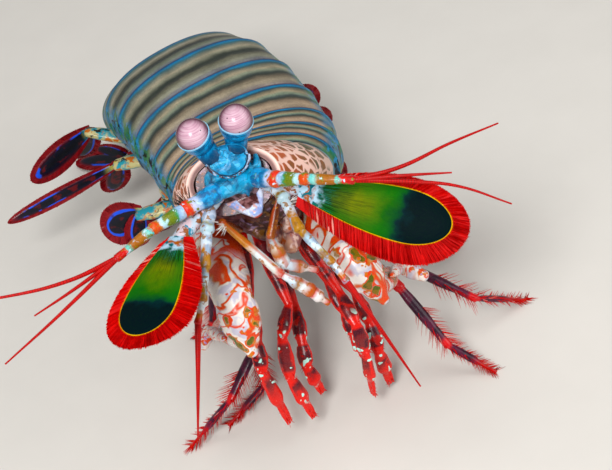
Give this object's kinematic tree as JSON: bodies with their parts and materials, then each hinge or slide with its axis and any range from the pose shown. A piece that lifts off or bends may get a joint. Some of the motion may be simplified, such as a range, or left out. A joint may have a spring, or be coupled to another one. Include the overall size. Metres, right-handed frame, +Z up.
{
  "type": "mantis shrimp",
  "caption": "Peacock mantis shrimp standing with its head and claws raised: banded arched body, stalked eyes, fringed antennal scales, whips, legs and tail fan, as a still life-size model.",
  "frame": {"origin": "on the floor under the middle of the animal's box", "axes": "+Z up, +Y from the head toward the tail, +X toward the animal's left side"},
  "size_m": [0.1002, 0.1462, 0.0689],
  "materials": {
    "tergites": "satin shell, banded tan, green, navy and teal",
    "underside": "satin skin, maroon-brown with tan",
    "carapace": "glossy shell, pinkish white net round orange-brown spots",
    "face": "glossy shell, mottled turquoise",
    "labrum": "glossy, white tinted pink and blue",
    "corneas": "very glossy, pink-white with a maroon rim",
    "antennules": "glossy, turquoise with red, white and olive bands",
    "feelers": "satin red",
    "antennal_scales": "satin, green to blue-black with a bright red fringe",
    "antennae": "glossy, white with golden bands and a red whip",
    "claws": "glossy shell, white with orange-brown lines and olive spots",
    "maxillipeds": "glossy, maroon with bright red joints and mint spots",
    "walking_legs": "satin, dark purple with red joints and bristles",
    "pleopods": "satin, blue-black with a blue arc and a red-maroon fringe",
    "uropods": "satin, blue, black and red with a red fringe"
  },
  "bodies": {
    "root": {"abdomen_1": "tergites", "abdomen_2": "tergites", "abdomen_3": "tergites", "abdomen_4": "tergites", "abdomen_5": "tergites", "abdomen_6": "tergites", "antenna_left": "antennae", "antenna_right": "antennae", "antennal_scale_left": "antennal_scales", "antennal_scale_right": "antennal_scales", "antennule_flagella_left": "feelers", "antennule_flagella_right": "feelers", "antennule_left": "antennules", "antennule_right": "antennules", "carapace": "carapace", "cornea_left": "corneas", "cornea_right": "corneas", "eyestalk_left": "face", "eyestalk_right": "face", "head": "face", "labrum": "labrum", "maxilliped_1_left": "claws", "maxilliped_1_right": "claws", "maxilliped_3_left": "maxillipeds", "maxilliped_3_right": "maxillipeds", "maxilliped_4_left": "maxillipeds", "maxilliped_4_right": "maxillipeds", "maxilliped_5_left": "maxillipeds", "maxilliped_5_right": "maxillipeds", "pleopod_1_left": "pleopods", "pleopod_1_right": "pleopods", "pleopod_2_left": "pleopods", "pleopod_2_right": "pleopods", "pleopod_3_left": "pleopods", "pleopod_3_right": "pleopods", "pleopod_4_left": "pleopods", "pleopod_4_right": "pleopods", "pleopod_5_left": "pleopods", "pleopod_5_right": "pleopods", "raptorial_dactyl_left": "claws", "raptorial_dactyl_right": "claws", "raptorial_merus_left": "claws", "raptorial_merus_right": "claws", "raptorial_propodus_left": "claws", "raptorial_propodus_right": "claws", "rostral_plate": "face", "telson": "tergites", "thorax_6": "tergites", "thorax_7": "tergites", "thorax_8": "tergites", "thorax_front": "underside", "uropod_left": "uropods", "uropod_right": "uropods", "walking_leg_1_left": "walking_legs", "walking_leg_1_right": "walking_legs", "walking_leg_2_left": "walking_legs", "walking_leg_2_right": "walking_legs", "walking_leg_3_left": "walking_legs", "walking_leg_3_right": "walking_legs"}
  },
  "joints": []
}
